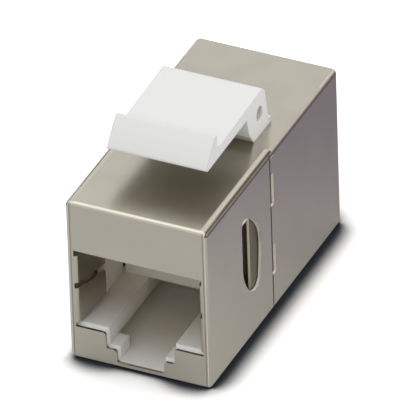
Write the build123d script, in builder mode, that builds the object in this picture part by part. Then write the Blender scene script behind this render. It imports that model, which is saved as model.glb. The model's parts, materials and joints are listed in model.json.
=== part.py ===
"""A shielded eight-way jack insert: two sockets back to back in a folded sheet
shell, joined by a small board, with a latch clip on the roof. Millimetres.
X runs across the insert, Y from the front mouth to the rear mouth, Z up. The
origin is in the middle of the underside. Depths are measured from the front face."""

import os

from build123d import *

os.makedirs("parts", exist_ok=True)

# Shell
width = 14.5
height = 17.6
length = 29.8
sheet = 0.25
end_round = 0.4
long_round = 0.5
fold_gap = 0.15
fold_start = 0.25
seat_gap = 0.05

# Mouth in the end panel of the shell: plug opening, wide step, narrow step
mouth_width = 13.1
mouth_top = 12.2
shelf_edge = 3.6
step_width = 7.08
step_edge = 1.88
key_width = 4.86
key_edge = 0.55
mouth_round = 0.3

# Earthing springs, folded back from the sides of the mouth
spring_root = 12.7
spring_tip_gap = 11.1
spring_reach = 4.7
spring_bend = 0.3
upper_spring = (8.5, 11.55)
upper_spring_tip = (8.0, 10.8)
lower_spring = (4.05, 7.9)
lower_spring_tip = (4.7, 7.2)

# Seam between the two halves of the shell
side_seam = 14.2
roof_seam = 15.0
seam_gap = 0.1
seam_window_cut = 0.65
lower_window = (3.9, 7.2)
upper_window = (11.6, 15.1)

# Upright slot in each side of the front half, its corners as depth and level
slot_corners = [(7.38, 14.25), (9.1, 13.9), (11.72, 11.1), (11.72, 4.5), (9.6, 4.5), (7.38, 8.1)]
slot_round = 0.8

# Socket body
body_clearance = 0.1
body_chamfer = 0.15
edge_chamfer = 0.12
cavity_width = 12.2
cavity_top = 12.6
cavity_depth = 9.55
shelf = 3.85
channel_width = 6.84
channel_step = 2.0
channel_floor = 0.65
catch_gap = 4.6
catch_depth = 2.6
undercut_width = 8.4
keel_width = 9.0
lead_in = 0.35
lintel = 1.8
spring_window_depth = 5.6
recess_front = 7.3
recess_wall = 0.25
recess_range = (2.6, 13.0)
back_rib_top = 7.0
back_rib = 0.8

# Contact carrier and its eight wires
carrier_width = 11.7
carrier_front = 3.2
carrier_floor = 13.3
carrier_top = 17.0
carrier_face = 9.95
carrier_foot = 0.7
contact_count = 8
contact_pitch = 1.02
wire_width = 0.35
wire_thickness = 0.3
wire_level = 13.65
wire_row_step = 1.3
wire_front_corner = 1.2
wire_tip_depth = 10.6
wire_tip_level = 9.1
wire_bend = 0.5
wire_gap = 0.06
comb_floor = 8.4
comb_depth = 1.25
tail_slot_depth = 11.4

# Centre shield and board
shield_front = 9.9
board_thickness = 1.5
board_gap = 0.1
solder_hole = 0.32
solder_hole_sides = 12
tail_stub = 0.2

# Latch clip, levels above the shell's roof
clip_width = 10.2
arm_underside = 3.15
arm_top = 4.25
nose_depth = 4.9
nose_round = 0.2
nose_bulge = 0.2
ridge_depth = 7.2
ridge_top = 5.8
ridge_land = 0.3
ridge_root = 0.7
heel_depth = 18.15
heel_lean = 0.65
heel_round = 0.9
foot_front = 15.48
arm_root = 14.1
foot_curve = 0.1
foot_curve_level = 1.1
toe_reach = 19.38
toe_height = 0.3
toe_slit = 0.12
nib_height = 0.62
nib_width = 1.2

# Pin and ears that hold the clip
pin_depth = 16.87
pin_level = 2.28
pin_radius = 0.62
pin_hole = 0.65
pin_recess = 0.15
ear_radius = 1.05
ear_spacing = 8.0

half = width / 2
front = -length / 2


def across(depth):
    """Plane across the insert at this depth, seen from the front: (x, z)."""
    return Plane(origin=(0, front + depth, 0), x_dir=(1, 0, 0), z_dir=(0, -1, 0))


def above(level):
    """Level plane at this height: (x, depth)."""
    return Plane(origin=(0, front, level), x_dir=(1, 0, 0), z_dir=(0, 0, 1))


def beside(offset=0.0):
    """Upright plane along the insert, seen from the right: (depth, z)."""
    return Plane(origin=(offset, front, 0), x_dir=(0, 1, 0), z_dir=(1, 0, 0))


def window(low, high, floor, ceiling):
    """Draws a rectangle between these edges in the open sketch."""
    with Locations(((low + high) / 2, (floor + ceiling) / 2)):
        Rectangle(high - low, ceiling - floor)


def cut_box(across_range, depth_range, level_range):
    """Cuts a box, given by its ranges, out of the open part."""
    with BuildSketch(across(depth_range[0])) as section:
        window(*across_range, *level_range)
    extrude(section.sketch, amount=depth_range[0] - depth_range[1], mode=Mode.SUBTRACT)


def both_sides(inner, outer):
    """The two mirrored ranges across the insert."""
    return (-outer, -inner), (inner, outer)


def wide(breadth):
    """The range across the insert of something this wide in the middle."""
    return (-breadth / 2, breadth / 2)


def long_edges(part):
    """The four outer edges along the insert."""
    return part.edges().filter_by(Axis.Y)


def step_corner(vertex):
    """True for the corners of the mouth's steps, not for its far corners."""
    return abs(vertex.X) < (mouth_width + step_width) / 4


def stepped_outline(widths, levels):
    """Draws an opening with two steps at its foot, from widths and levels downwards."""
    right = []
    for breadth, upper, lower in zip(widths, levels, levels[1:]):
        right += [(breadth / 2, upper), (breadth / 2, lower)]
    left = [(-x, z) for x, z in reversed(right)]
    return Polyline(*right, *left, close=True)


def end_box(reach):
    """Front end of a shell half: panel, four folded walls, mouth and springs."""
    with BuildPart() as box:
        with BuildSketch(across(0)):
            window(-half, half, 0, height)
        extrude(amount=-reach)
        fillet(long_edges(box), long_round)
        fillet(box.faces().sort_by(Axis.Y)[0].edges(), end_round)
        offset(amount=-sheet, openings=box.faces().sort_by(Axis.Y)[-1])
        with BuildSketch(across(-sheet)) as mouth:
            with BuildLine():
                stepped_outline(
                    (mouth_width, step_width, key_width),
                    (mouth_top, shelf_edge, step_edge, key_edge),
                )
            make_face()
            fillet(mouth.vertices().filter_by(step_corner), mouth_round)
        extrude(amount=-sheet - long_round, mode=Mode.SUBTRACT)

        # The springs' section seen from above, then their tapered ends.
        with BuildSketch(above(lower_spring[0])):
            for sign in (-1, 1):
                with BuildLine() as strip:
                    FilletPolyline(
                        (sign * (half - long_round), sheet / 2),
                        (sign * spring_root / 2, sheet / 2),
                        (sign * (spring_tip_gap + sheet) / 2, spring_reach),
                        radius=spring_bend,
                    )
                trace(strip.line, sheet)
        extrude(amount=upper_spring[1] - lower_spring[0])
        with BuildSketch(beside()):
            start = sheet
            end = spring_reach + sheet
            with BuildLine():
                Polyline(
                    (-sheet, lower_spring[1]),
                    (start, lower_spring[1]),
                    (end, lower_spring_tip[1]),
                    (end, upper_spring_tip[0]),
                    (start, upper_spring[0]),
                    (-sheet, upper_spring[0]),
                    close=True,
                )
            make_face()
            with BuildLine():
                Polyline(
                    (start, upper_spring[1]),
                    (end, upper_spring_tip[1]),
                    (end, upper_spring[1]),
                    close=True,
                )
            make_face()
            with BuildLine():
                Polyline(
                    (start, lower_spring[0]),
                    (end, lower_spring_tip[0]),
                    (end, lower_spring[0]),
                    close=True,
                )
            make_face()
        extrude(amount=mouth_width / 2, both=True, mode=Mode.SUBTRACT)
    return box.part


def fold_slits(reach, level_range):
    """Cuts the open folds between the walls, through the sheet at these levels."""
    for side in both_sides(half - sheet - fold_gap, half - sheet):
        cut_box(side, (fold_start, reach), level_range)


def finish(part, name):
    """Labels a finished piece and writes it."""
    part.label = name
    export_step(part, f"parts/{name}.step")


# Front half of the shell: its roof reaches past its sides, which have a slot each
roof_level = height - long_round
with BuildPart() as front_shell:
    add(end_box(roof_seam))
    fold_slits(roof_seam, (roof_level, height))
    fold_slits(roof_seam, (0, long_round))
    cut_box((-half, half), (side_seam - seam_gap / 2, roof_seam), (0, roof_level))
    with BuildSketch(beside()) as side_slot:
        with BuildLine():
            Polyline(*slot_corners, close=True)
        make_face()
        fillet(side_slot.vertices(), slot_round)
    extrude(amount=half, both=True, mode=Mode.SUBTRACT)
finish(front_shell.part, "front_shell")

# Rear half: two windows in the seam edge of each side, and two ears on the roof
ear_face = ear_spacing / 2 - sheet / 2
ear_height = pin_level + ear_radius
ear_range = (pin_depth - ear_radius, pin_depth + ear_radius)
with BuildPart() as rear_shell:
    rear_edge = side_seam + seam_gap / 2
    mirror(end_box(length - rear_edge), about=Plane.XZ)
    cut_box((-half, half), (rear_edge, roof_seam), (roof_level - seam_gap, height))
    for side in both_sides(half - sheet, half):
        cut_box(side, (rear_edge, rear_edge + seam_window_cut), lower_window)
        cut_box(side, (rear_edge, rear_edge + seam_window_cut), upper_window)
    for side in both_sides(half - sheet - fold_gap, half - sheet):
        cut_box(side, (rear_edge, length - fold_start), (0, long_round))
    for sign in (-1, 1):
        with BuildSketch(beside(sign * ear_face)):
            with Locations((pin_depth, height + pin_level)):
                Circle(ear_radius)
            window(*ear_range, height - sheet, height + pin_level)
            with Locations((pin_depth, height + pin_level)):
                Circle(pin_hole, mode=Mode.SUBTRACT)
        extrude(amount=sign * sheet)

    # The windows in the roof that the ears were folded up from
    for side in both_sides(ear_face - ear_height, ear_face):
        cut_box(side, ear_range, (height - sheet, height))
finish(rear_shell.part, "rear_shell")

# Socket body, the white moulding behind each mouth
socket_back = (length - board_thickness) / 2 - board_gap
channel_end = socket_back - carrier_foot
body_half = half - sheet - body_clearance
slim_half = body_half - sheet
body_floor = sheet + seat_gap
body_top = height - sheet - body_clearance
face = sheet + seat_gap
bay = wide(carrier_width + 2 * seat_gap)

with BuildPart() as front_socket:
    with BuildSketch(across(face)):
        window(-body_half, body_half, body_floor, body_top)
    extrude(amount=face - shield_front)
    chamfer(long_edges(front_socket), edge_chamfer)
    chamfer(front_socket.faces().sort_by(Axis.Y)[0].edges(), body_chamfer)
    with BuildSketch(across(shield_front)):
        window(-slim_half, slim_half, body_floor + sheet, body_top - sheet)
        window(*wide(keel_width), body_floor, body_floor + sheet)
    extrude(amount=shield_front - socket_back)

    # Cavity for the plug, and the bay behind and above it for the carrier
    rib_back = cavity_depth + back_rib
    cut_box(wide(cavity_width), (0, cavity_depth), (shelf, cavity_top))
    cut_box(bay, (lintel, cavity_depth), (cavity_top - seat_gap, height))
    cut_box(bay, (cavity_depth, socket_back), (back_rib_top, height))
    cut_box(bay, (rib_back, socket_back), (shelf, back_rib_top))

    # Latch channel under the cavity and the rib, with a catch on each side of its mouth
    cut_box(wide(channel_width), (0, socket_back), (channel_step, shelf))
    cut_box(wide(catch_gap), (0, catch_depth), (channel_floor, channel_step))
    cut_box(wide(undercut_width), (catch_depth, socket_back), (channel_floor, channel_step))

    # Side openings behind the springs, and the recess behind the shell's slot
    for side in both_sides(cavity_width / 2 - seat_gap, half):
        cut_box(side, (0, spring_window_depth), (shelf, cavity_top))
    for side in both_sides(cavity_width / 2 + recess_wall, half):
        cut_box(side, (recess_front, channel_end), recess_range)
    for side in both_sides(carrier_width / 2, half):
        cut_box(side, (cavity_depth, channel_end), (shelf, recess_range[1]))

    # Lead-in round the mouth of the channel and along the shelf
    with BuildSketch(across(face)):
        with BuildLine():
            stepped_outline(
                (2 * half, channel_width + 2 * lead_in, catch_gap + 2 * lead_in),
                (shelf + 2 * lead_in, shelf - lead_in, channel_step - lead_in, channel_floor),
            )
        make_face()
    extrude(amount=-lead_in, taper=45, mode=Mode.SUBTRACT)
finish(front_socket.part, "front_socket")

with BuildPart() as rear_socket:
    mirror(front_socket.part, about=Plane.XZ)
finish(rear_socket.part, "rear_socket")

# Contact carrier: an arm over the cavity, a comb at its back, a foot in the channel
middle = (contact_count - 1) / 2
contact_places = [(index - middle) * contact_pitch for index in range(contact_count)]
carrier_back = socket_back - seat_gap
groove = wire_width + 2 * wire_gap
groove_top = wire_level + wire_thickness / 2 + wire_gap

with BuildPart() as front_carrier:
    with BuildSketch(beside()):
        window(carrier_front, carrier_back, carrier_floor, carrier_top)
        window(carrier_face, carrier_back, back_rib_top + seat_gap, carrier_floor)
        window(rib_back + seat_gap, carrier_back, shelf + seat_gap, back_rib_top + seat_gap)
    extrude(amount=carrier_width / 2, both=True)
    with BuildSketch(across(channel_end)):
        window(*wide(channel_width - 2 * seat_gap), channel_step - seat_gap, shelf + seat_gap)
        foot = wide(undercut_width - 2 * seat_gap)
        window(*foot, channel_floor + seat_gap, channel_step - seat_gap)
    extrude(amount=channel_end - carrier_back)
    for place in contact_places:
        slit = (place - groove / 2, place + groove / 2)
        cut_box(slit, (carrier_front, carrier_back), (carrier_floor, groove_top))
        cut_box(slit, (carrier_face, carrier_face + comb_depth), (comb_floor, carrier_floor))
        cut_box(slit, (tail_slot_depth, carrier_back), (groove_top, groove_top + wire_row_step))
finish(front_carrier.part, "front_carrier")

with BuildPart() as rear_carrier:
    mirror(front_carrier.part, about=Plane.XZ)
finish(rear_carrier.part, "rear_carrier")

# Contact wires: straight tail through the board, tight bend, sprung leg in the cavity
board_front = (length - board_thickness) / 2
tail_end = board_front + board_thickness + tail_stub
upper_row = wire_level + wire_row_step


def contact_wire(place, raised):
    """One wire at this place across; its tail may run in the raised row."""
    leg = [(wire_front_corner, wire_level), (wire_tip_depth, wire_tip_level)]
    tail = [(tail_end, wire_level)]
    if raised:
        rise = tail_slot_depth + 2 * wire_bend
        tail = [(tail_end, upper_row), (rise + wire_row_step / 2, upper_row), (rise, wire_level)]
    with BuildPart() as wire:
        with BuildSketch(beside(place - wire_width / 2)):
            with BuildLine() as path:
                FilletPolyline(*tail, *leg, radius=wire_bend)
            trace(path.line, wire_thickness)
        extrude(amount=wire_width)
    return wire.part


for number, place in enumerate(contact_places, start=1):
    raised_in_front = number % 2 == 0
    finish(contact_wire(place, raised_in_front), f"front_contact_{number}")
    with BuildPart() as rear_wire:
        mirror(contact_wire(place, not raised_in_front), about=Plane.XZ)
    finish(rear_wire.part, f"rear_contact_{number}")

# Board between the two sockets, with a hole for every tail
shield_half = half - sheet - seat_gap
shield_floor = sheet + seat_gap
shield_top = height - sheet - seat_gap
board_half = shield_half - sheet - board_gap
board_range = (shield_floor + sheet + board_gap, shield_top - sheet - board_gap)

with BuildPart() as coupler_board:
    with BuildSketch(across(board_front)):
        window(-board_half, board_half, *board_range)
        for level in (wire_level, upper_row):
            with Locations(*[(place, level) for place in contact_places]):
                RegularPolygon(solder_hole, solder_hole_sides, mode=Mode.SUBTRACT)
    extrude(amount=-board_thickness)
finish(coupler_board.part, "coupler_board")

# Centre shield: a folded sleeve inside the shell, open underneath for the keels
with BuildPart() as centre_shield:
    with BuildSketch(across(shield_front)) as sleeve:
        window(-shield_half, shield_half, shield_floor, shield_top)
        fillet(sleeve.vertices(), sheet)
        inner_half = shield_half - sheet
        with BuildSketch(mode=Mode.PRIVATE) as hollow:
            window(-inner_half, inner_half, shield_floor + sheet, shield_top - sheet)
        add(hollow.sketch, mode=Mode.SUBTRACT)
    extrude(amount=2 * shield_front - length)
    keel_gap = wide(keel_width + 2 * seat_gap)
    cut_box(keel_gap, (shield_front, length - shield_front), (0, shield_floor + sheet))
finish(centre_shield.part, "centre_shield")


# Latch clip: foot, level arm and raised nose
def roof(depth, level):
    """A point of the clip's side view: depth, and level above the roof."""
    return (depth, height + level)


def nose_corner(vertex):
    """True for the lower edge of the nose."""
    return vertex.X < (nose_depth + ridge_depth) / 2


def root_corner(vertex):
    """True for the foot of the ridge, where it meets the arm."""
    return ridge_depth < vertex.X < arm_root and vertex.Y < height + ridge_top


def heel_corner(vertex):
    """True for the upper back edge of the clip."""
    return vertex.X > foot_front and vertex.Y > height + arm_underside


with BuildPart() as latch_clip:
    with BuildSketch(beside()) as side_view:
        with BuildLine():
            ridge_back = ridge_depth + ridge_land
            ThreePointArc(
                roof(nose_depth, arm_underside),
                roof((nose_depth + ridge_depth) / 2, (arm_underside + ridge_top) / 2 + nose_bulge),
                roof(ridge_depth, ridge_top),
            )
            Polyline(
                roof(ridge_depth, ridge_top),
                roof(ridge_back, ridge_top),
                roof(ridge_back, arm_top),
                roof(heel_depth, arm_top),
                roof(heel_depth + heel_lean, nib_height),
                roof(heel_depth + heel_lean, 0),
                roof(foot_front, 0),
            )
            Spline(
                roof(foot_front, 0),
                roof((foot_front + arm_root) / 2 - foot_curve, foot_curve_level),
                roof(arm_root, arm_underside),
            )
            Line(roof(arm_root, arm_underside), roof(nose_depth, arm_underside))
        make_face()
        fillet(side_view.vertices().filter_by(nose_corner), nose_round)
        fillet(side_view.vertices().filter_by(heel_corner), heel_round)
        fillet(side_view.vertices().filter_by(root_corner), ridge_root)
    extrude(amount=clip_width / 2, both=True)

    # Toe along the back of the foot, with a short nib over each end of it
    heel = heel_depth + heel_lean
    with BuildSketch(beside()):
        window(heel - sheet, toe_reach, height, height + toe_height)
    extrude(amount=clip_width / 2, both=True)
    with BuildSketch(across(toe_reach)):
        for side in both_sides(clip_width / 2 - nib_width, clip_width / 2):
            window(*side, height + toe_height + toe_slit, height + nib_height)
    extrude(amount=toe_reach - heel + sheet)

    # Hole for the pin, and a slot from below for each ear
    with BuildSketch(beside()):
        with Locations(roof(pin_depth, pin_level)):
            Circle(pin_hole)
    extrude(amount=clip_width / 2, both=True, mode=Mode.SUBTRACT)
    for side in both_sides(ear_face - seat_gap, ear_face + sheet + seat_gap):
        cut_box(
            side,
            (ear_range[0] - seat_gap, ear_range[1] + seat_gap),
            (height, height + ear_height + seat_gap),
        )
finish(latch_clip.part, "latch_clip")

# Pin through the clip's foot and the two ears
with BuildPart() as latch_pin:
    with BuildSketch(beside()):
        with Locations(roof(pin_depth, pin_level)):
            Circle(pin_radius)
    extrude(amount=clip_width / 2 - pin_recess, both=True)
finish(latch_pin.part, "latch_pin")
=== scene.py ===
# %% [markdown]
# # A shielded eight-way jack insert
#
# The insert joins two network leads back to back. A folded sheet shell holds two
# white sockets, a small board joins their contacts, and a plastic latch on the
# roof snaps into a panel. The solid parts come from the CAD frame. Blender gives
# them their surfaces, softens two of them in copies, adds the solder on the board,
# and lights them.
#
# Everything here is in metres. X runs across the insert, Y from the front mouth
# to the rear mouth, and Z points up.

# %% Load the frame
import json
import math

import bmesh
import bpy
from mathutils import Matrix, Vector

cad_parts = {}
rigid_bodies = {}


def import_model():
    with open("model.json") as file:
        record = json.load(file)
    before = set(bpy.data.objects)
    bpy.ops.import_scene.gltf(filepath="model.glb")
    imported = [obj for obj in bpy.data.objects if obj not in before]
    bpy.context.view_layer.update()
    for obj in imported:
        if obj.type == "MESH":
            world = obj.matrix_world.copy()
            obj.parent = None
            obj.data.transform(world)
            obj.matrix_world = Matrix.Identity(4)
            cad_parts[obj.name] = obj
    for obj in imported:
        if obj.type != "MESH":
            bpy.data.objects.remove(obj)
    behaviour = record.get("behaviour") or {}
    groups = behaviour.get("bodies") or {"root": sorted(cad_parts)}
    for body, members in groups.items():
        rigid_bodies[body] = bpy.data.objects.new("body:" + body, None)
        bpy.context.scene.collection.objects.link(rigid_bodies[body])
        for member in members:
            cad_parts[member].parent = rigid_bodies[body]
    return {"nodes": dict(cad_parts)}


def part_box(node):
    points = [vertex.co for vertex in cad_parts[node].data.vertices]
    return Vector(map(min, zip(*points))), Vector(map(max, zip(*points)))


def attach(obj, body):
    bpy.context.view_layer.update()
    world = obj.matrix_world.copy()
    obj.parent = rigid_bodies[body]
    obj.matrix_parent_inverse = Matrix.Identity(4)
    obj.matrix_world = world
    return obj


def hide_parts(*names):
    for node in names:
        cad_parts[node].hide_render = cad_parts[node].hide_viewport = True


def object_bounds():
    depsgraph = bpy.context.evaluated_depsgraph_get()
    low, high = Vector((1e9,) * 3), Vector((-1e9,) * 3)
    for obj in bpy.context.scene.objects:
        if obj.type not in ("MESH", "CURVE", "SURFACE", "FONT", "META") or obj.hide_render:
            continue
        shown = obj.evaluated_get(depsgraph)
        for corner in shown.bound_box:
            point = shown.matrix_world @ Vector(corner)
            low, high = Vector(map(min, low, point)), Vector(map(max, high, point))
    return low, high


for leftover in list(bpy.data.objects):
    bpy.data.objects.remove(leftover)

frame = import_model()
nodes = frame["nodes"]
cad_box = [list(corner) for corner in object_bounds()]
MM = 0.001
low, high = (Vector(corner) for corner in cad_box)
print("nodes:", len(nodes))
print("size in mm:", [round(side / MM, 2) for side in high - low])

# %% [markdown]
# ## Shader maths as plain expressions
#
# A material's pattern is arithmetic on textures. Wiring a Math node for each sum
# hides that arithmetic, so one small class wraps a socket and turns +, -, *, abs
# and comparisons into Math nodes. Every other node comes from its `node` method,
# which sets the node's own settings first, and then the values or links of its
# sockets. A comparison gives a mask, which is 1 in a place and 0 elsewhere. Masks
# are multiplied where both have to hold, and joined by `either`.


# %% A socket that can be calculated with
def find_socket(sockets, key):
    """A socket by its number, its identifier or its name."""
    if isinstance(key, int):
        return sockets[key]
    return next(item for item in sockets if key in (item.identifier, item.name))


class Pattern:
    """One value in a material, with arithmetic that adds Math nodes."""

    def __init__(self, tree, socket=None):
        self.tree = tree
        self.socket = socket

    def node(self, kind, settings=None, sockets=None, output=0):
        made = self.tree.nodes.new(kind)
        for name, value in (settings or {}).items():
            setattr(made, name, value)
        for key, value in (sockets or {}).items():
            target = find_socket(made.inputs, key)
            if isinstance(value, Pattern):
                self.tree.links.new(value.socket, target)
            else:
                target.default_value = value
        return Pattern(self.tree, find_socket(made.outputs, output))

    def math(self, operation, first, second=0.0):
        settings = {"operation": operation}
        return self.node("ShaderNodeMath", settings, {0: first, 1: second})

    def __abs__(self):
        return self.math("ABSOLUTE", self)

    def __add__(self, other):
        return self.math("ADD", self, other)

    def __radd__(self, other):
        return self.math("ADD", other, self)

    def __sub__(self, other):
        return self.math("SUBTRACT", self, other)

    def __rsub__(self, other):
        return self.math("SUBTRACT", other, self)

    def __mul__(self, other):
        return self.math("MULTIPLY", self, other)

    def __rmul__(self, other):
        return self.math("MULTIPLY", other, self)

    def __gt__(self, other):
        return self.math("GREATER_THAN", self, other)

    def __lt__(self, other):
        return self.math("LESS_THAN", self, other)

    def either(self, other):
        """The larger of the two values."""
        return self.math("MAXIMUM", self, other)

    def capped(self):
        """This value, or 1 where it is more."""
        return self.math("MINIMUM", self, 1.0)

    def ramp(self, start, end):
        """0 below start, 1 above end, and smooth between them."""
        settings = {"interpolation_type": "SMOOTHSTEP"}
        sockets = {"Value": self, "From Min": start, "From Max": end}
        return self.node("ShaderNodeMapRange", settings, sockets)

    def choose(self, first, second):
        """The first colour where this value is 0, the second where it is 1."""
        sockets = {"Factor_Float": self, "A_Color": first, "B_Color": second}
        settings = {"data_type": "RGBA"}
        return self.node("ShaderNodeMix", settings, sockets, "Result_Color")


print("pattern operators:", "abs + - * > <")

# %% [markdown]
# ## Places and grain
#
# A finish follows the object, so its patterns read Object coordinates, which stay
# with the piece from every side. Noise stretched along one axis gives the fine
# lines that rolling leaves in sheet metal. Noise with equal sides gives the soft
# cloudiness of a plated or moulded surface.


# %% Coordinates, noise and a new finish
def new_finish(name):
    """An empty material, with a Pattern to start its tree from."""
    material = bpy.data.materials.new(name)
    material.use_nodes = True
    material.node_tree.nodes.clear()
    return material, Pattern(material.node_tree)


def split(vector):
    """The X, Y and Z of a vector."""
    kind = "ShaderNodeSeparateXYZ"
    return [vector.node(kind, {}, {0: vector}, axis) for axis in "XYZ"]


def place_of(start):
    """The point on the object, in metres, and its X, Y and Z."""
    point = start.node("ShaderNodeTexCoord", output="Object")
    return point, split(point)


def normal_of(start):
    """How far the surface faces along X, Y and Z."""
    return split(start.node("ShaderNodeTexCoord", output="Normal"))


def noise_at(point, size, stretch=(1, 1, 1), detail=2.0):
    """Noise from 0 to 1 with grains of this size in metres, longer where stretched."""
    scale = [1 / (size * factor) for factor in stretch]
    moved = point.node("ShaderNodeMapping", {}, {"Vector": point, "Scale": scale})
    return point.node(
        "ShaderNodeTexNoise", {}, {"Vector": moved, "Scale": 1.0, "Detail": detail}
    )


def bump(height, strength, distance, normal=None):
    """A normal bent by this height pattern, from the given one if there is one."""
    sockets = {"Strength": strength, "Distance": distance, "Height": height}
    if normal:
        sockets["Normal"] = normal
    return height.node("ShaderNodeBump", {}, sockets)


def complete(material, start, **sockets):
    """Puts a Principled shader and the output at the end of a finish's tree."""
    named = {name.replace("_", " "): value for name, value in sockets.items()}
    shader = start.node("ShaderNodeBsdfPrincipled", {}, named)
    output = start.tree.nodes.new("ShaderNodeOutputMaterial")
    start.tree.links.new(shader.socket, output.inputs["Surface"])
    return material


def srgb(red, green, blue):
    """A colour picked as screen values from 0 to 255, made linear for the shader."""
    linear = [((level / 255 + 0.055) / 1.055) ** 2.4 for level in (red, green, blue)]
    return (*linear, 1.0)


print("warm nickel is", [round(level, 3) for level in srgb(190, 185, 172)[:3]])

# %% [markdown]
# ## Cut edges and painted light on the shell
#
# Where the press cut through the strip, at the slots and along the seam, the edge
# tore instead of shining. It is found by its place: it lies between the two faces
# of a wall, and looks along the wall instead of away from it. Its near-white tone
# is a painted highlight on that real edge. Behind the mouth's springs the inner
# side of the wall gets the same pale, matt colour as painted light, where it would
# lie dark, so it joins the same mask.

# %% The torn edges and the painted light behind the springs
SHEET = 0.25 * MM
THROUGH = 1.02 * SHEET
SIDE_OUT = high.x
ROOF_OUT = 17.6 * MM
PAINTED_LIGHT_FROM = 6.97 * MM
PAINTED_LIGHT_TO = SIDE_OUT - 0.98 * SHEET
PAINTED_LIGHT_DEPTH = 3.5 * MM
ALONG_SIDE = 0.3
ALONG_ROOF = 0.1


def shell_cuts_and_painted_light(start, x, y, z):
    """1 on the walls' and roof's edges, and on the painted light behind the springs."""
    facing = [abs(part) for part in normal_of(start)]
    in_side = (abs(x) > SIDE_OUT - THROUGH) * (facing[0] < ALONG_SIDE)
    in_roof = (z > ROOF_OUT - THROUGH) * (z < ROOF_OUT) * (facing[2] < ALONG_ROOF)
    # The wall behind the mouth's springs takes the pale edge colour as painted light.
    painted_light_wall = (abs(x) < PAINTED_LIGHT_TO) * (abs(x) > PAINTED_LIGHT_FROM)
    near_mouth = abs(y) > high.y - PAINTED_LIGHT_DEPTH
    return in_side.either(in_roof).either(painted_light_wall * near_mouth)


print("sheet in mm:", SHEET / MM)

# %% [markdown]
# ## Painted light and shade at the shell's seam and folds
#
# The two halves of the shell meet at the side seam and along the front half's roof
# slits. Painted shade darkens the seam and the walls' rounded tops beside the
# slits, and beside the slit the roof's fold gets a painted highlight. Behind the
# seam the inner shield gets painted light. The walls' rounded tops get painted
# shade along their whole length, and near the corners of the end panels a fine
# upright line of painted shade runs down each panel.

# %% Seam, slits and folds
SIDE_SEAM = -0.7 * MM
SEAM_SHADE_HALF = 0.13 * MM
SEAM_LIGHT_REACH = 1.0 * MM
SHIELD_FROM = 6.93 * MM
SHIELD_TO = 6.99 * MM
WALL_TOP = 2 * SHEET
CORNER_LINE = 6.8 * MM
CORNER_LINE_HALF = 0.06 * MM
ROOF_SKIN = 0.1 * SHEET
FOLD_START = 6.4 * MM
FOLD_HIGHLIGHT_FULL = 6.6 * MM
FOLD_END = 6.95 * MM
FOLD_DROP = 0.14 * MM


def seam_shade_of(x, y):
    """1 along the side seam, where painted shade darkens the gap."""
    return (abs(y - SIDE_SEAM) < SEAM_SHADE_HALF) * (abs(x) > SIDE_OUT - THROUGH)


def behind_seam_of(x, y):
    """1 on the shield behind the side seam, which gets painted light."""
    in_shield = (abs(x) > SHIELD_FROM) * (abs(x) < SHIELD_TO)
    return (abs(y - SIDE_SEAM) < SEAM_LIGHT_REACH) * in_shield


def wall_top_of(x, z, inner_limit):
    """1 on the walls' rounded tops, outside this limit."""
    return (abs(x) > inner_limit) * (z > ROOF_OUT - WALL_TOP)


def corner_line_of(x):
    """1 on the upright lines near the corners, which get painted shade."""
    return abs(abs(x) - CORNER_LINE) < CORNER_LINE_HALF


def front_roof_of(y, z):
    """1 on the front half's roof, which has the slits."""
    return (z > ROOF_OUT - ROOF_SKIN) * (y < 0.0)


def roof_fold_of(x, y, z):
    """1 along the roof beside the slits, where the painted highlight goes."""
    return abs(x).ramp(FOLD_START, FOLD_HIGHLIGHT_FULL) * front_roof_of(y, z)


def roof_edge_normal(x, y, z):
    """The roof's edge bends down beside the slits, as a soft fold does."""
    falling = abs(x).ramp(FOLD_START, FOLD_END)
    return bump(falling * front_roof_of(y, z) * -FOLD_DROP, 1.0, 1.0)


print("seam at", SIDE_SEAM / MM, "mm, folds at", FOLD_START / MM, "mm")

# %% [markdown]
# ## The shell's nickel finish
#
# The shell is thin steel strip with a satin nickel plate: warm grey, with soft
# reflections and no mirror. The strip's rolling lines run along the walls, and up
# and down the end panels, because the walls are folded back from those panels. The
# lines are so fine that they only soften the reflection, so they mostly vary the
# roughness and barely touch the bump. Handling leaves faint cloudy patches.

# %% Nickel for the shell
FULL_METAL = 1.0
CUT_AND_PAINTED_LIGHT_METAL = 0.3
CUT_AND_PAINTED_LIGHT_ROUGHNESS = 0.62
ROLLING = 60.0
CLOUD_SIZE = 3.5 * MM
SPECK_SIZE = 0.12 * MM
GRAIN_DEPTH = 0.01 * MM
LOOKS_ALONG = 0.7
SLIT_SHADE_FROM = 6.99 * MM
WALL_TOP_SHADE_FROM = 7.13 * MM
# Painted shade for the gaps at the side seam and beside the roof slits.
PAINTED_SLIT_AND_SEAM_SHADE = srgb(92, 86, 74)
# Painted highlight on the roof's fold beside the slits.
PAINTED_FOLD_HIGHLIGHT = srgb(196, 190, 175)
# Painted light on the shield seen behind the side seam.
PAINTED_SHIELD_LIGHT = srgb(232, 226, 210)
# Painted shade on the walls' rounded tops, in place of their highlight.
PAINTED_WALL_TOP_SHADE = srgb(138, 131, 123)
# Painted shade for the upright lines near the end panels' corners.
PAINTED_CORNER_SHADE = srgb(146, 141, 127)


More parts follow.
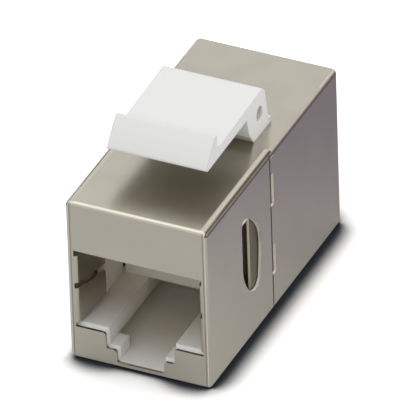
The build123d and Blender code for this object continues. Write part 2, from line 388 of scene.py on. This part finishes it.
def sheet_metal(name, plate, worn, cut_edge_and_painted_light, roughness, line_size, cut_and_painted_light_of):
    """Plated strip in two near tones, painted light and shade at edges and folds."""
    material, start = new_finish(name)
    point, (x, y, z) = place_of(start)
    facing_end = abs(normal_of(start)[1]) > LOOKS_ALONG
    along = noise_at(point, line_size, (1, ROLLING, 1))
    upright = noise_at(point, line_size, (1, 1, ROLLING))
    lines = along + facing_end * (upright - along)
    clouds = noise_at(point, CLOUD_SIZE, detail=4.0)
    specks = noise_at(point, SPECK_SIZE, detail=1.0)
    cut_and_painted_light = cut_and_painted_light_of(start, x, y, z)
    tone = (clouds * 0.7 + lines * 0.3).ramp(0.2, 0.8)
    smooth = roughness + 0.05 * (lines - 0.5) + 0.05 * (clouds - 0.5)
    # Painted light on the shield behind the seam.
    sheet = behind_seam_of(x, y).choose(tone.choose(worn, plate), PAINTED_SHIELD_LIGHT)
    # Painted highlight along the roof's fold beside the slits.
    sheet = roof_fold_of(x, y, z).choose(sheet, PAINTED_FOLD_HIGHLIGHT)
    # Painted shade along the upright lines near the corners.
    sheet = (corner_line_of(x) * facing_end).choose(sheet, PAINTED_CORNER_SHADE)
    # Painted shade on the front half's wall tops, beside the roof slits.
    sheet = (wall_top_of(x, z, SLIT_SHADE_FROM) * (y < 0.0)).choose(sheet, PAINTED_SLIT_AND_SEAM_SHADE)
    # Painted shade on the walls' rounded tops.
    sheet = wall_top_of(x, z, WALL_TOP_SHADE_FROM).choose(sheet, PAINTED_WALL_TOP_SHADE)
    grain = lines * 0.6 + specks * 0.4
    return complete(
        material,
        start,
        # Painted shade darkens the side seam's gap.
        Base_Color=seam_shade_of(x, y).choose(cut_and_painted_light.choose(sheet, cut_edge_and_painted_light), PAINTED_SLIT_AND_SEAM_SHADE),
        Metallic=FULL_METAL - (FULL_METAL - CUT_AND_PAINTED_LIGHT_METAL) * cut_and_painted_light,
        Roughness=smooth + cut_and_painted_light * (CUT_AND_PAINTED_LIGHT_ROUGHNESS - smooth),
        Normal=bump(grain, 0.10, GRAIN_DEPTH, roof_edge_normal(x, y, z)),
    )


shell_nickel = sheet_metal(
    "satin_nickel",
    plate=srgb(184, 180, 168),
    worn=srgb(178, 173, 161),
    # Near-white: painted highlight on the cut edges, and painted light behind the springs.
    cut_edge_and_painted_light=srgb(246, 242, 232),
    roughness=0.25,
    line_size=0.05 * MM,
    cut_and_painted_light_of=shell_cuts_and_painted_light,
)
print("made", shell_nickel.name)

# %% [markdown]
# ## The inner shield
#
# A second sheet lies inside the shell round the board. It is the same strip with a
# rougher plate, painted dark and brownish as painted shade, since it lies in the
# shell's shade. It shows as a dark wall in the side slots, with its cut edge given
# a painted highlight, and behind the seam, where it gets painted light.


# %% Dull nickel with painted shade for the inner shield
def shield_cuts(start, *place):
    """1 on the shield's edges, which look along the insert."""
    return abs(normal_of(start)[1]) > LOOKS_ALONG


shield_nickel_painted_shade = sheet_metal(
    "dull_nickel_painted_shade",
    # The dark olive plate and its second tone are painted shade.
    plate=srgb(116, 110, 92),
    worn=srgb(104, 98, 80),
    # The pale edge tone is a painted highlight on the shield's cut edges.
    cut_edge_and_painted_light=srgb(212, 206, 187),
    roughness=0.36,
    line_size=0.06 * MM,
    cut_and_painted_light_of=shield_cuts,
)
print("made", shield_nickel_painted_shade.name)

# %% [markdown]
# ## Mouldings
#
# The sockets and the latch are injection moulded in white plastic, and the contact
# carriers in a brownish grey. A moulded surface is a little uneven: the tool's
# spark-eroded grain gives it a soft sheen, and the plastic pulls in slightly where
# it is thick. Each is one recipe with its own colours, roughness and grain.
#
# The sockets are painted warmer and darker in their depth, as painted shade, and the
# carriers paler there, as painted light. Undersides are painted darker, as painted shade.
#
# A moulded edge is never sharp. The Bevel node bends the normal near an edge, as a
# small rounding would, so the edge catches the light and the CAD mesh stays as it is.

# %% Moulded plastic
DEPTH_START = 1 * MM
DEPTH_END = 7 * MM
PULL_SIZE = 4.0 * MM
PULL_DEPTH = 0.02 * MM
UNDERSIDE = -0.5


def moulded(name, light, shade, inner, under, roughness, grain_size, edge):
    """Two near tones at the mouth, a painted depth tone, painted shade on undersides."""
    material, start = new_finish(name)
    point, (_, y, _) = place_of(start)
    inside = (high.y - abs(y)).ramp(DEPTH_START, DEPTH_END)
    facing_down = normal_of(start)[2] < UNDERSIDE
    grain = noise_at(point, grain_size, detail=3.0)
    pull = noise_at(point, PULL_SIZE, detail=1.0)
    rounded = start.node("ShaderNodeBevel", {"samples": 6}, {"Radius": edge})
    # The depth tone is painted: shade in the sockets, light in the carriers.
    upper = inside.choose(pull.ramp(0.25, 0.75).choose(shade, light), inner)
    return complete(
        material,
        start,
        # Undersides take a darker colour as painted shade.
        Base_Color=facing_down.choose(upper, under),
        Roughness=roughness + 0.12 * (grain - 0.5) + 0.08 * (pull - 0.5),
        Normal=bump(grain * 0.35 + pull * 0.65, 0.12, PULL_DEPTH, rounded),
        Specular_IOR_Level=0.45,
    )


latch_white = moulded(
    "latch_white",
    light=srgb(242, 242, 240),
    shade=srgb(238, 238, 236),
    inner=srgb(240, 240, 238),
    # Painted shade on the latch's undersides.
    under=srgb(200, 197, 188),
    roughness=0.46,
    grain_size=0.10 * MM,
    edge=0.2 * MM,
)
socket_white = moulded(
    "socket_white",
    light=srgb(243, 243, 240),
    shade=srgb(238, 238, 234),
    # Painted shade: the sockets darken in their depth.
    inner=srgb(224, 220, 208),
    # Painted shade on the sockets' undersides.
    under=srgb(206, 202, 190),
    roughness=0.50,
    grain_size=0.12 * MM,
    edge=0.1 * MM,
)
carrier_grey = moulded(
    "carrier_grey",
    light=srgb(104, 99, 86),
    shade=srgb(96, 91, 78),
    # Painted light: the carriers are paler in their depth.
    inner=srgb(186, 178, 154),
    under=srgb(96, 91, 78),
    roughness=0.52,
    grain_size=0.12 * MM,
    edge=0.1 * MM,
)
print("made", latch_white.name, socket_white.name, carrier_grey.name)

# %% [markdown]
# ## Board, pin and contact wires
#
# The board is glass-filled laminate under a green lacquer, with a faint weave. The
# pin is drawn steel wire, so its lines run along it. The contact wires are bronze
# with tin plate at the tails and hard gold on the part of the leg that a plug
# touches, with a soft border between the two.

# %% Laminate and drawn wire
LACQUER = srgb(34, 92, 58)
LACQUER_DARK = srgb(26, 74, 46)
THREAD = 0.45 * MM


def laminate(name):
    """Green lacquer over a weave of glass thread."""
    material, start = new_finish(name)
    point, (x, _, z) = place_of(start)
    turn = 2 * math.pi / THREAD
    weave = start.math("SINE", x * turn) * start.math("SINE", z * turn)
    blur = noise_at(point, 1.5 * MM)
    return complete(
        material,
        start,
        Base_Color=(weave * 0.3 + blur).ramp(0.2, 0.8).choose(LACQUER_DARK, LACQUER),
        Roughness=0.34 + 0.1 * (blur - 0.5),
        Normal=bump(weave, 0.15, GRAIN_DEPTH),
    )


def drawn_wire(name, bright, worn):
    """Metal with fine lines along X."""
    material, start = new_finish(name)
    point, _ = place_of(start)
    lines = noise_at(point, 0.05 * MM, (40, 1, 1))
    return complete(
        material,
        start,
        Base_Color=lines.choose(worn, bright),
        Metallic=FULL_METAL,
        Roughness=0.3 + 0.15 * (lines - 0.5),
        Normal=bump(lines, 0.1, GRAIN_DEPTH),
    )


board_green = laminate("green_laminate")
pin_steel = drawn_wire("drawn_steel", srgb(226, 223, 213), srgb(206, 202, 191))
solder_tin = drawn_wire("solder_tin", srgb(200, 200, 198), srgb(180, 180, 178))
print("made", board_green.name, pin_steel.name, solder_tin.name)

# %% Plated contacts
GOLD_START = 4.6 * MM
GOLD_FULL = 5.2 * MM
GOLD_WOBBLE = 0.5 * MM


def plated_contact(name, gold, tin):
    """Gold within reach of a plug, which is far from the board, and tin near it."""
    material, start = new_finish(name)
    point, (_, y, _) = place_of(start)
    wobble = noise_at(point, 0.4 * MM)
    from_board = abs(y) + (wobble - 0.5) * GOLD_WOBBLE
    plug_side = from_board.ramp(GOLD_START, GOLD_FULL)
    lines = noise_at(point, 0.04 * MM, (1, 40, 1))
    return complete(
        material,
        start,
        Base_Color=plug_side.choose(tin, gold),
        Metallic=FULL_METAL,
        Roughness=0.36 - 0.12 * plug_side + 0.1 * (lines - 0.5),
        Normal=bump(lines, 0.1, 0.5 * GRAIN_DEPTH),
    )


contact_gold = plated_contact("gold_and_tin", srgb(236, 196, 110), srgb(205, 204, 200))
print("made", contact_gold.name)

# %% [markdown]
# ## Dress the CAD nodes
#
# A CAD node keeps its mesh, and only its material changes. The first word of this
# list that is in a node's name decides which finish it takes.

# %% Give every node its finish
FINISHES = {
    "shell": shell_nickel,
    "shield": shield_nickel_painted_shade,
    "socket": socket_white,
    "carrier": carrier_grey,
    "clip": latch_white,
    "board": board_green,
    "pin": pin_steel,
    "contact": contact_gold,
}

for name, node in nodes.items():
    word = next(word for word in FINISHES if word in name)
    node.data.materials.clear()
    node.data.materials.append(FINISHES[word])
print("dressed", len(nodes), "nodes")

# %% [markdown]
# ## Softer copies of two nodes
#
# The side slots are pressed with a round punch, so their outline is one smooth
# curve, and the latch is a moulding whose arm rises a little towards its heel. The
# CAD keeps both simpler. Here a copy of the node stands for it. The copy's loose
# triangles are merged first, then its points are moved within the same surfaces.


# %% A merged copy of a node
def merged_copy(node_name, piece_name, reshape):
    """A copy of this node's mesh, merged, reshaped and standing for the node."""
    shape = bmesh.new()
    shape.from_mesh(nodes[node_name].data)
    bmesh.ops.remove_doubles(shape, verts=shape.verts, dist=0.001 * MM)
    reshape(shape)
    mesh = bpy.data.meshes.new(piece_name)
    shape.to_mesh(mesh)
    shape.free()
    for material in nodes[node_name].data.materials:
        mesh.materials.append(material)
    piece = bpy.data.objects.new(piece_name, mesh)
    bpy.context.scene.collection.objects.link(piece)
    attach(piece, "root")
    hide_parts(node_name)
    return piece


print("the front shell's triangles:", len(nodes["front_shell"].data.polygons))

# %% [markdown]
# ## Slots with one smooth outline
#
# The outline is a list of points, each with its depth behind the front panel and
# its level over the table, in millimetres. The slot's edges in the mesh are divided,
# and each of their points goes to the smooth outline, at the same angle round the
# slot's middle. The slot's narrow wall is then made again, one face for each short
# edge, because its long triangles would fold over on a curved outline.

# %% The smooth outline
SLOT = [
    (7.60, 12.00), (7.62, 13.20), (7.85, 13.85), (8.30, 13.98), (9.00, 13.72),
    (9.85, 13.10), (10.70, 12.20), (11.35, 11.20), (11.70, 10.20), (11.76, 9.20),
    (11.70, 8.00), (11.55, 6.70), (11.32, 5.40), (10.85, 4.88), (10.15, 4.80),
    (9.45, 5.08), (8.80, 5.68), (8.20, 6.55), (7.78, 7.55), (7.60, 8.70),
    (7.57, 10.40),
]
SLOT_DEPTH, SLOT_LEVEL = 9.6, 9.3
SLOT_BOX = ((7.2, 11.9), (4.3, 14.5))


def slot_distance(angle):
    """How far the smooth outline is from the slot's middle at this angle, in mm."""
    along = (math.cos(angle), math.sin(angle))
    for (depth, level), (next_depth, next_level) in zip(SLOT, SLOT[1:] + SLOT[:1]):
        corner = (depth - SLOT_DEPTH, level - SLOT_LEVEL)
        edge = (next_depth - depth, next_level - level)
        turned = along[0] * edge[1] - along[1] * edge[0]
        distance = (corner[0] * edge[1] - corner[1] * edge[0]) / turned
        share = (corner[0] * along[1] - corner[1] * along[0]) / turned
        if distance > 0 and 0 <= share <= 1:
            return distance


def place_in_side(vertex):
    """How deep behind the front panel a point is, and its level, in mm."""
    return (vertex.co.y - low.y) / MM, vertex.co.z / MM


def in_slot_box(vertex):
    """Whether a point of a side wall is on the slot's outline or close to it."""
    depth, level = place_in_side(vertex)
    (near, far), (bottom, top) = SLOT_BOX
    in_side = abs(vertex.co.x) > SIDE_OUT - THROUGH
    return in_side and near < depth < far and bottom < level < top


print("slot's reach upwards in mm:", round(slot_distance(math.pi / 2), 2))

# %% Short faces for the slot's narrow wall
MID_SHEET = SIDE_OUT - SHEET / 2


def rebuild_slot_walls(shape):
    """Joins the slot's outer and inner outlines by one face for each short edge."""
    around = [vertex for vertex in shape.verts if in_slot_box(vertex)]
    inner = [vertex for vertex in around if abs(vertex.co.x) < MID_SHEET]
    slot_points, inner_points = set(around), set(inner)
    walls = [
        face
        for face in shape.faces
        if slot_points.issuperset(face.verts)
        and 0 < len(inner_points.intersection(face.verts)) < len(face.verts)
    ]
    bmesh.ops.delete(shape, geom=walls, context="FACES")
    rims = [
        edge
        for edge in shape.edges
        if edge.is_boundary
        and slot_points.issuperset(edge.verts)
        and abs(edge.verts[0].co.x) > MID_SHEET
    ]
    for edge in rims:
        first, second = edge.verts
        behind = [
            min(inner, key=lambda other: (other.co - vertex.co).length)
            for vertex in (second, first)
        ]
        wall = shape.faces.new((first, second, *behind))
        wall.normal_update()
        middle = Vector((first.co.x, low.y + SLOT_DEPTH * MM, SLOT_LEVEL * MM))
        if wall.normal.dot(middle - wall.calc_center_median()) < 0:
            wall.normal_flip()


print("middle of the side's sheet at", round(MID_SHEET / MM, 3), "mm")

# %% The case with smooth slots
STEP = 0.4 * MM
SAME_SIDE = 0.01 * MM
IN_THE_SIDE = 0.9
IN_THE_SLOT = 0.3


def on_outline(edge):
    """Whether an edge lies between the flat side and the slot's narrow wall."""
    first, second = edge.verts
    facing = [abs(face.normal.x) for face in edge.link_faces]
    return (
        in_slot_box(first)
        and in_slot_box(second)
        and abs(first.co.x - second.co.x) < SAME_SIDE
        and max(facing) > IN_THE_SIDE
        and min(facing) < IN_THE_SLOT
    )


def smooth_slots(shape):
    """Divides the slot's edges and sets their points on the smooth outline."""
    shape.normal_update()
    for edge in [edge for edge in shape.edges if on_outline(edge)]:
        cuts = int(edge.calc_length() / STEP)
        if cuts:
            bmesh.ops.subdivide_edges(shape, edges=[edge], cuts=cuts)
    for vertex in shape.verts:
        if in_slot_box(vertex):
            depth, level = place_in_side(vertex)
            angle = math.atan2(level - SLOT_LEVEL, depth - SLOT_DEPTH)
            distance = slot_distance(angle)
            vertex.co.y = low.y + (SLOT_DEPTH + distance * math.cos(angle)) * MM
            vertex.co.z = (SLOT_LEVEL + distance * math.sin(angle)) * MM
    rebuild_slot_walls(shape)


front_case = merged_copy("front_shell", "front_case", smooth_slots)
print("case faces:", len(front_case.data.polygons))

# %% [markdown]
# ## A latch that rises to its heel
#
# The arm is the latch's springy part. It leaves the nose level and climbs a little
# on its way to the heel. Two shares from 0 to 1, one along the latch and one over
# the arm's thickness, say how much of the rise each point gets, so the foot on the
# roof and the nose stay in place.

# %% The rising latch
RISE = 0.45 * MM
RISE_START = -7.0 * MM
RISE_END = 3.0 * MM
RISE_FOOT = 19.6 * MM
RISE_TOP = 21.6 * MM


def raise_heel(shape):
    """Lifts the arm's points by a share that grows towards the heel."""
    for vertex in shape.verts:
        along = (vertex.co.y - RISE_START) / (RISE_END - RISE_START)
        up = (vertex.co.z - RISE_FOOT) / (RISE_TOP - RISE_FOOT)
        vertex.co.z += RISE * min(max(along, 0), 1) * min(max(up, 0), 1)


latch = merged_copy("latch_clip", "latch", raise_heel)
print("latch faces:", len(latch.data.polygons))

# %% [markdown]
# ## Solder on the board
#
# Each contact's tail goes through a hole in the board and is soldered on the far
# side. Molten solder climbs the tail and wets the ring round the hole, so a joint is
# a small cone. Eight equal joints stand in two rows on each face, so Geometry Nodes
# make them: the tree sets one cone on every point that it is given. The tails that
# come from the front are soldered on the rear face, and the other way round.


# %% A tree that sets solder joints on points
def add_node(tree, kind, sockets):
    """Adds a geometry node and sets its sockets."""
    made = tree.nodes.new(kind)
    for key, value in sockets.items():
        target = find_socket(made.inputs, key)
        if isinstance(value, bpy.types.NodeSocket):
            tree.links.new(value, target)
        else:
            target.default_value = value
    return made


def add_input(tree, name, kind, default):
    """A named input of the tree, by its identifier."""
    socket = tree.interface.new_socket(name, in_out="INPUT", socket_type=kind)
    socket.default_value = default
    return socket.identifier


def solder_tree():
    """Joints at the points of the mesh that the modifier is on."""
    tree = bpy.data.node_groups.new("solder_joints", "GeometryNodeTree")
    for way in ("INPUT", "OUTPUT"):
        kind = "NodeSocketGeometry"
        tree.interface.new_socket("Geometry", in_out=way, socket_type=kind)
    inputs = {
        "Ring radius": add_input(tree, "Ring radius", "NodeSocketFloat", 0.4 * MM),
        "Tip radius": add_input(tree, "Tip radius", "NodeSocketFloat", 0.2 * MM),
        "Height": add_input(tree, "Height", "NodeSocketFloat", 0.3 * MM),
        "Turn": add_input(tree, "Turn", "NodeSocketFloat", 0.0),
        "Finish": add_input(tree, "Finish", "NodeSocketMaterial", None),
    }
    given = tree.nodes.new("NodeGroupInput").outputs
    cone_sizes = {
        "Vertices": 20,
        "Side Segments": 5,
        "Radius Top": given["Tip radius"],
        "Radius Bottom": given["Ring radius"],
        "Depth": given["Height"],
    }
    cone = add_node(tree, "GeometryNodeMeshCone", cone_sizes)
    turned = add_node(tree, "ShaderNodeCombineXYZ", {"X": given["Turn"]})
    on_points = {
        "Points": given["Geometry"],
        "Instance": cone.outputs["Mesh"],
        "Rotation": turned.outputs[0],
    }
    placed = add_node(tree, "GeometryNodeInstanceOnPoints", on_points)
    real = add_node(tree, "GeometryNodeRealizeInstances", {0: placed.outputs[0]})
    finish = {"Geometry": real.outputs[0], "Material": given["Finish"]}
    dressed = add_node(tree, "GeometryNodeSetMaterial", finish)
    output = tree.nodes.new("NodeGroupOutput")
    tree.links.new(dressed.outputs[0], output.inputs[0])
    return tree, inputs


solder_joints, solder_inputs = solder_tree()
print("tree inputs:", list(solder_inputs))

# %% Solder the two rows on both faces
CONTACTS = 8
PITCH = 1.02 * MM
ROW_STEP = 1.3 * MM
ROW_LEVEL = 13.65 * MM
RING_RADIUS = 0.42 * MM
TIP_RADIUS = 0.22 * MM
JOINT_HEIGHT = 0.08 * MM
board_low, board_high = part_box("coupler_board")


def grown_piece(name, points, tree, values):
    """A plain mesh made by a Geometry Nodes tree on these points."""
    mesh = bpy.data.meshes.new(name + "_points")
    mesh.from_pydata(points, [], [])
    seed = bpy.data.objects.new(name + "_seed", mesh)
    bpy.context.scene.collection.objects.link(seed)
    modifier = seed.modifiers.new("grow", "NODES")
    modifier.node_group = tree
    for identifier, value in values.items():
        modifier[identifier] = value
    graph = bpy.context.evaluated_depsgraph_get()
    grown = bpy.data.meshes.new_from_object(seed.evaluated_get(graph), depsgraph=graph)
    bpy.data.objects.remove(seed)
    piece = bpy.data.objects.new(name, grown)
    bpy.context.scene.collection.objects.link(piece)
    return piece


def soldered(name, face, turn, raised_on_odd):
    """The solder of one face of the board. Alternate tails are in the upper row."""
    points = []
    for index in range(CONTACTS):
        across = (index - (CONTACTS - 1) / 2) * PITCH
        raised = (index % 2 == 1) == raised_on_odd
        points.append((across, face, ROW_LEVEL + ROW_STEP * raised))
    values = {
        solder_inputs["Ring radius"]: RING_RADIUS,
        solder_inputs["Tip radius"]: TIP_RADIUS,
        solder_inputs["Height"]: JOINT_HEIGHT,
        solder_inputs["Turn"]: turn,
        solder_inputs["Finish"]: solder_tin,
    }
    piece = grown_piece(name, points, solder_joints, values)
    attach(piece, "root")
    return piece


rear_solder = soldered("rear_solder", board_high.y, -math.pi / 2, True)
front_solder = soldered("front_solder", board_low.y, math.pi / 2, False)
print("solder faces:", len(rear_solder.data.polygons), len(front_solder.data.polygons))

# %% [markdown]
# ## Floor and background
#
# The object stands on a large sheet of pale paper. The camera sees the paper much
# brighter than it is, so all of it clips to white except in the narrow gap round
# the foot. There the Ambient Occlusion node tells how closed in the paper is, and
# darkens it, but not on the left, where the light comes from. Metal shows the paper
# too. There it has a pale colour with painted shade, which greys off towards the
# back on the right, as if far from the lamps.

# %% A white floor that keeps the shadow
FLOOR_SIZE = 3.0
FLOOR_LEVEL = -0.02 * MM
PAPER = (0.86, 0.86, 0.86, 1.0)
WHITE = (1.0, 1.0, 1.0, 1.0)
SEEN_PAPER = (1.5, 1.5, 1.5, 1.0)
SEEN_GAP = (0.03, 0.035, 0.045, 1.0)
GAP_REACH = 3.2 * MM
GAP_SHADE = (0.57, 1.0)
LIT_SIDE = (6.6 * MM, 8.2 * MM)
NEAR_PAPER = (0.92, 0.92, 0.92, 1.0)
# Painted shade in reflections: the paper seen in metal greys off towards this.
FAR_PAPER = (0.385, 0.355, 0.43, 1.0)
FADE = (-10 * MM, 45 * MM)
FADE_ACROSS = 0.6


def paper_finish():
    """White paper for the camera, graded paper in metal, and plain paper for light."""
    material, start = new_finish("paper")
    _, (x, y, _) = place_of(start)
    to_camera = start.node("ShaderNodeLightPath", output="Is Camera Ray")
    in_gloss = start.node("ShaderNodeLightPath", output="Is Glossy Ray")
    in_glass = start.node("ShaderNodeLightPath", output="Is Transmission Ray")
    graded = (x * FADE_ACROSS + y).ramp(*FADE).choose(NEAR_PAPER, FAR_PAPER)
    mirrored = (in_gloss + in_glass).capped()
    distance = {"Distance": GAP_REACH}
    openness = start.node("ShaderNodeAmbientOcclusion", {"samples": 16}, distance, "AO")
    lit_side = (0.0 - x).ramp(*LIT_SIDE)
    seen = openness.ramp(*GAP_SHADE).either(lit_side).choose(SEEN_GAP, SEEN_PAPER)
    colour = to_camera.choose(mirrored.choose(PAPER, graded), seen)
    matt = start.node("ShaderNodeBsdfDiffuse", {}, {"Color": colour})
    output = start.tree.nodes.new("ShaderNodeOutputMaterial")
    start.tree.links.new(matt.socket, output.inputs["Surface"])
    return material


def make_floor():
    """One large square of paper just under the object."""
    half = FLOOR_SIZE / 2
    sides = ((-half, -half), (half, -half), (half, half), (-half, half))
    mesh = bpy.data.meshes.new("floor")
    mesh.from_pydata([(x, y, FLOOR_LEVEL) for x, y in sides], [], [(0, 1, 2, 3)])
    mesh.materials.append(paper_finish())
    floor = bpy.data.objects.new("floor", mesh)
    bpy.context.scene.collection.objects.link(floor)


make_floor()
print("floor of", FLOOR_SIZE, "m")

# %% [markdown]
# ## Light
#
# The picture has the even light of a product table: one wide soft lamp above, a
# little to the left, a weaker one on the right, a faint one in front, and white all
# round. Soft lamps are wide for their distance, so that the shadow's edge spreads
# and the satin metal shows broad, calm reflections. The white world lights the
# object at less than half its strength, and shows at full strength in the picture
# and in metal.

# %% World and lamps
TABLE = Vector((0, 0, 9 * MM))
WORLD_LEVEL = 0.45
LAMPS = {
    "key": {"place": (-0.12, 0.02, 0.60), "size": 0.80, "power": 1.95},
    "front_fill": {"place": (0.05, -0.55, 0.30), "size": 0.40, "power": 0.35},
    "right_fill": {"place": (0.45, 0.10, 0.25), "size": 0.40, "power": 0.6},
}


def light_world(level):
    """A white world, at full strength where it is seen and at this level as light."""
    world = bpy.data.worlds.new("studio")
    world.use_nodes = True
    world.node_tree.nodes.clear()
    start = Pattern(world.node_tree)
    to_camera, in_gloss, in_glass = (
        start.node("ShaderNodeLightPath", output=name)
        for name in ("Is Camera Ray", "Is Glossy Ray", "Is Transmission Ray")
    )
    strength = level + (to_camera + in_gloss + in_glass).capped() * (1 - level)
    sockets = {"Color": WHITE, "Strength": strength}
    shown = start.node("ShaderNodeBackground", {}, sockets)
    output = start.tree.nodes.new("ShaderNodeOutputWorld")
    start.tree.links.new(shown.socket, output.inputs["Surface"])
    bpy.context.scene.world = world


def soft_lamp(name, place, size, power):
    """A square lamp at this place, aimed at the object."""
    data = bpy.data.lights.new(name, "AREA")
    data.size = size
    data.energy = power
    lamp = bpy.data.objects.new(name, data)
    lamp.location = place
    lamp.rotation_euler = (TABLE - Vector(place)).to_track_quat("-Z", "Y").to_euler()
    bpy.context.scene.collection.objects.link(lamp)


light_world(WORLD_LEVEL)
for name, settings in LAMPS.items():
    soft_lamp(name, **settings)
print("lamps:", list(LAMPS))

# %% [markdown]
# ## Camera
#
# The picture was taken from far away with a long lens, so its lines are almost
# parallel. The camera looks down at the front and the right side, and leans a
# little to one side. Its three axes are worked out from the angles and put into
# the columns of its matrix.

# %% Camera at the picture's angle
AZIMUTH = math.radians(25.5809)
ELEVATION = math.radians(34.4634)
ROLL = math.radians(-1.9417)
DISTANCE = 1229.8 * MM
AIM = Vector((0, 2.1 * MM, 8 * MM))
AIM_LEFT = 0.9294 * MM
AIM_UP = 0.2709 * MM
PIXELS = 408
FOCAL_PIXELS = 13074.07
SENSOR = 36.0


def place_camera():
    """A camera far in front, turned by the three angles and aimed at the object."""
    back = Vector(
        (
            math.sin(AZIMUTH) * math.cos(ELEVATION),
            -math.cos(AZIMUTH) * math.cos(ELEVATION),
            math.sin(ELEVATION),
        )
    )
    level_right = Vector((math.cos(AZIMUTH), math.sin(AZIMUTH), 0))
    level_up = back.cross(level_right)
    right = level_right * math.cos(ROLL) + level_up * math.sin(ROLL)
    up = level_up * math.cos(ROLL) - level_right * math.sin(ROLL)
    target = AIM - right * AIM_LEFT + up * AIM_UP
    data = bpy.data.cameras.new("camera")
    data.sensor_width = SENSOR
    data.lens = FOCAL_PIXELS * SENSOR / PIXELS
    camera = bpy.data.objects.new("camera", data)
    turn = Matrix((right, up, back)).transposed().to_4x4()
    camera.matrix_world = Matrix.Translation(target + back * DISTANCE) @ turn
    bpy.context.scene.collection.objects.link(camera)
    bpy.context.scene.camera = camera
    return camera


camera = place_camera()
bpy.context.scene.view_settings.view_transform = "Standard"
print("lens:", round(camera.data.lens, 1), "mm")

# %% [markdown]
# ## The CAD frame's size
#
# The size of the CAD frame is printed. Blender may not change the object's
# dimensions.

# %% The CAD frame's size
print("cad", cad_box)
